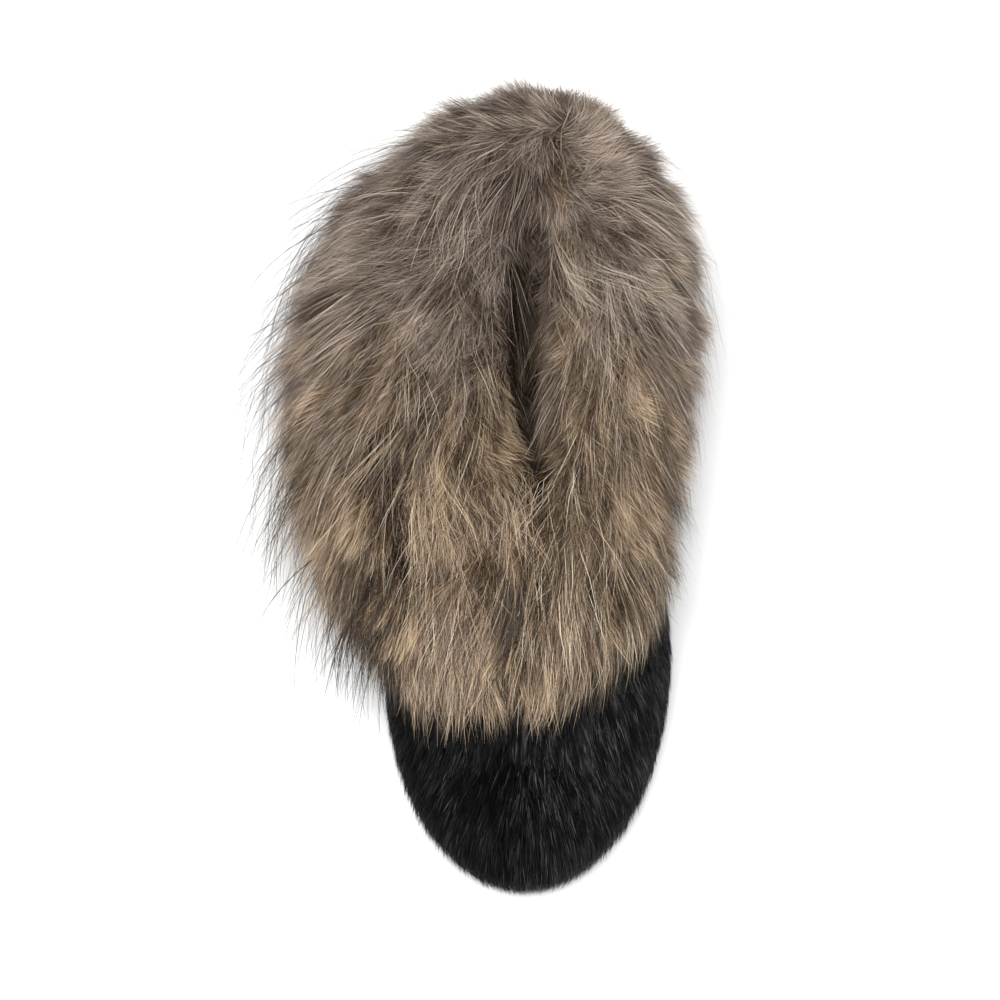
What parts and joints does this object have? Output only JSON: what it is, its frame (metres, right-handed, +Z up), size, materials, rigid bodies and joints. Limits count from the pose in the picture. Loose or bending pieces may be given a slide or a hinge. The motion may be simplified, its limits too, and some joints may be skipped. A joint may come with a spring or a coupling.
{
  "type": "fur slipper",
  "caption": "Closed-back slipper with a short-haired upper, a deep long-haired fur collar round the foot opening and a thin flat sole",
  "frame": {"origin": "on the flat underside of the sole, midway between toe tip and heel end", "axes": "+Z up, toe to -Y, heel to +Y, inner side of the foot to +X"},
  "size_m": [0.1679, 0.2946, 0.1087],
  "materials": {
    "sole": "matte, finely pebbled",
    "footbed": "soft pile",
    "short_fur": "short glossy fur on hide",
    "long_fur": "deep long-haired fur"
  },
  "bodies": {
    "root": {"outsole": "sole", "insole": "footbed", "upper": "short_fur", "fur_collar": "long_fur"}
  },
  "joints": []
}
